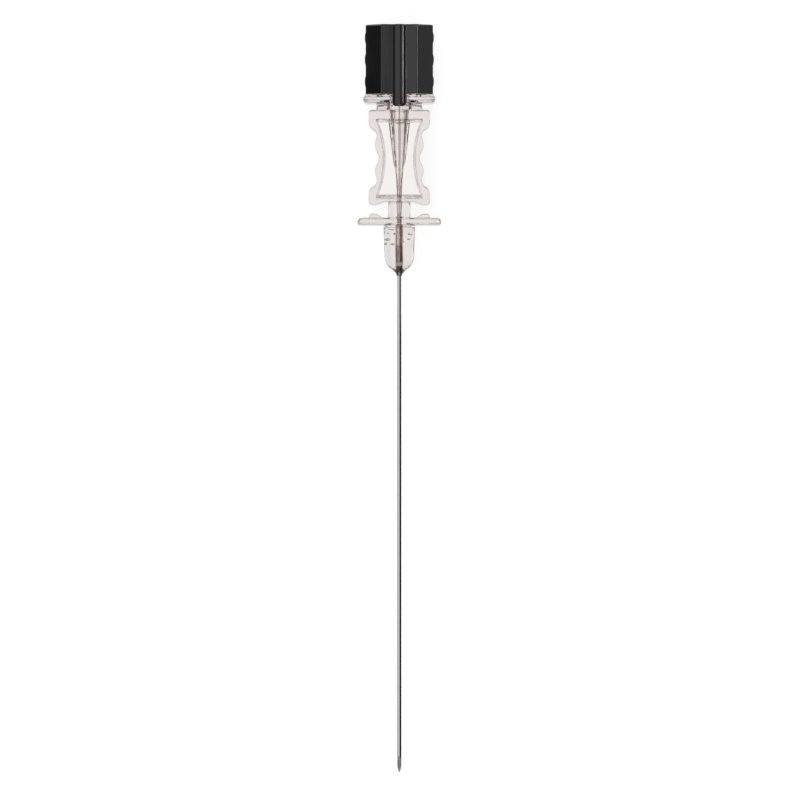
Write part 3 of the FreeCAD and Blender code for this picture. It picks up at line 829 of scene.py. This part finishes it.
# %% [markdown]
# The floor itself is a card. One that is lit to white would throw too much light on the needle, so it is a
# plain grey for the lamps and shows itself white only to the camera. It stays a lit surface there too, so
# the needle keeps its shadow. Light Path tells the three kinds of ray apart, and the same floor serves
# every view.

# %% Floor
FLOOR_HALF = 2.0
CARD_LEVEL = 0.3
CAMERA_GLOW = 0.86


def make_white_card():
    """A card that is grey for the lamps, white for the camera, and shows its own cards to the rest."""
    material, tree, place = start_material("white_card")
    ray = add(tree, "ShaderNodeLightPath").outputs
    shown = add(
        tree, "ShaderNodeMath", {"operation": "MULTIPLY"}, _0=ray["Is Camera Ray"], _1=CAMERA_GLOW,
    )
    card = add(tree, "ShaderNodeBsdfDiffuse", Color=grey(CARD_LEVEL))
    glow = add(tree, "ShaderNodeEmission", Strength=shown.outputs[0])
    lit_card = add(tree, "ShaderNodeAddShader", _0=card.outputs[0], _1=glow.outputs[0])
    mirrored = mirrored_cards(tree, place)
    seen = add(
        tree, "ShaderNodeMixShader", Fac=ray["Is Glossy Ray"], _1=lit_card.outputs[0], _2=mirrored.outputs[0],
    )
    behind = light_strip(tree, place)
    seen = add(
        tree, "ShaderNodeMixShader", Fac=ray["Is Transmission Ray"], _1=seen.outputs[0], _2=behind.outputs[0],
    )
    finish_material(tree, seen)
    return material


def make_floor():
    """A large flat floor at the height that the needle rests on."""
    data = bpy.data.meshes.new("floor")
    corners = [(x * FLOOR_HALF, y * FLOOR_HALF, rest_z) for x, y in ((-1, -1), (1, -1), (1, 1), (-1, 1))]
    data.from_pydata(corners, [], [(0, 1, 2, 3)])
    floor = place_object("floor", data)
    data.materials.append(make_white_card())


make_floor()
print("floor at mm", round(rest_z / MM, 2))

# %% [markdown]
# Round the floor lies the world. It could be left grey, but black plastic would mirror it and turn grey
# too. So it is nearly dark for mirrored rays, a warm middle tone through the clear plastic, and white
# where the camera looks past the floor.

# %% World
WORLD_GLOSS = 0.03
WORLD_WARM = "#aa978f"


def make_world():
    """A dark studio, warm through clear plastic, and white where the camera looks past the floor."""
    world = bpy.data.worlds.new("studio")
    bpy.context.scene.world = world
    world.use_nodes = True
    tree = world.node_tree
    tree.nodes.clear()
    ray = add(tree, "ShaderNodeLightPath").outputs
    through = add(
        tree, "ShaderNodeMix", {"data_type": "RGBA"}, Factor=ray["Is Transmission Ray"],
        _6=grey(WORLD_GLOSS), _7=linear(WORLD_WARM),
    )
    colour = add(
        tree, "ShaderNodeMix", {"data_type": "RGBA"}, Factor=ray["Is Camera Ray"],
        _6=through.outputs[2], _7=grey(1.0),
    )
    sky = add(tree, "ShaderNodeBackground", Color=colour.outputs[2])
    add(tree, "ShaderNodeOutputWorld", Surface=sky.outputs[0])


make_world()
print("world", bpy.context.scene.world.name)

# %% [markdown]
# A wide soft box hangs high on the left, and two more stand beyond the ends of the needle. The one beyond
# the point hangs low, so that the ground faces don't mirror it. Two narrow ones stand on the right, beside
# the handle only: a panel and a small strong strip. They draw the fine bright lines down the handle's
# right side, and they leave the tube bright on its left and dark on its right, which makes it look round.
# Only the left panel is seen through the clear plastic, where the others would leave hard bright shapes.
# A lamp's power follows from its size and from how bright its face should look.

# %% Lamps
# Each lamp's place, what it points at, its size, and how bright its face looks.
LAMPS = {
    "left_panel": ((-0.62, -0.02, 1.03), (0.0, -0.02, 0.0), (1.2, 2.0), 0.95),
    "foot_softbox": ((0.0, -1.36, 0.77), (0.0, -0.02, 0.0), (1.2, 0.8), 3.6),
    "head_softbox": ((0.0, 1.2, 1.0), (0.0, -0.02, 0.0), (1.2, 1.0), 2.0),
    "right_panel": ((0.321, 0.0615, 0.383), (0.0, 0.038, 0.0), (0.032, 0.36), 0.9),
    "right_strip": ((0.397, 0.0595, 0.215), (0.0, 0.038, 0.004), (0.028, 0.05), 24.0),
}
for name, (place, target, size, radiance) in LAMPS.items():
    lamp = bpy.data.lights.new(name, "AREA")
    lamp.shape = "RECTANGLE"
    lamp.size, lamp.size_y = size
    lamp.energy = math.pi * size[0] * size[1] * radiance
    stand = place_object(name, lamp)
    stand.location = place
    stand.rotation_euler = (Vector(target) - Vector(place)).to_track_quat("-Z", "Y").to_euler()
    stand.visible_transmission = name == "left_panel"
print("lamps", len(LAMPS))

# %% [markdown]
# The camera looks straight down from far away through a long lens, as the photograph was taken, with the
# handle at the top. A near camera would show the sides of the handle and the hub, which the photograph
# doesn't. Its lens is found from its distance and from how much of the table fits in the frame.

# %% Camera
CAMERA_DISTANCE = 1.3
FRAME_WIDTH = 0.1416
FRAME_MIDDLE = (0.00012, -0.02204)
SENSOR = 36.0
camera_data = bpy.data.cameras.new("camera")
camera_data.sensor_width = SENSOR
camera_data.lens = SENSOR * CAMERA_DISTANCE / FRAME_WIDTH
camera = place_object("camera", camera_data)
camera.location = (*FRAME_MIDDLE, CAMERA_DISTANCE)
camera.rotation_euler = (0.0, 0.0, 0.0)
bpy.context.scene.camera = camera
bpy.context.scene.view_settings.view_transform = "Standard"
print("lens mm", round(camera_data.lens, 1))
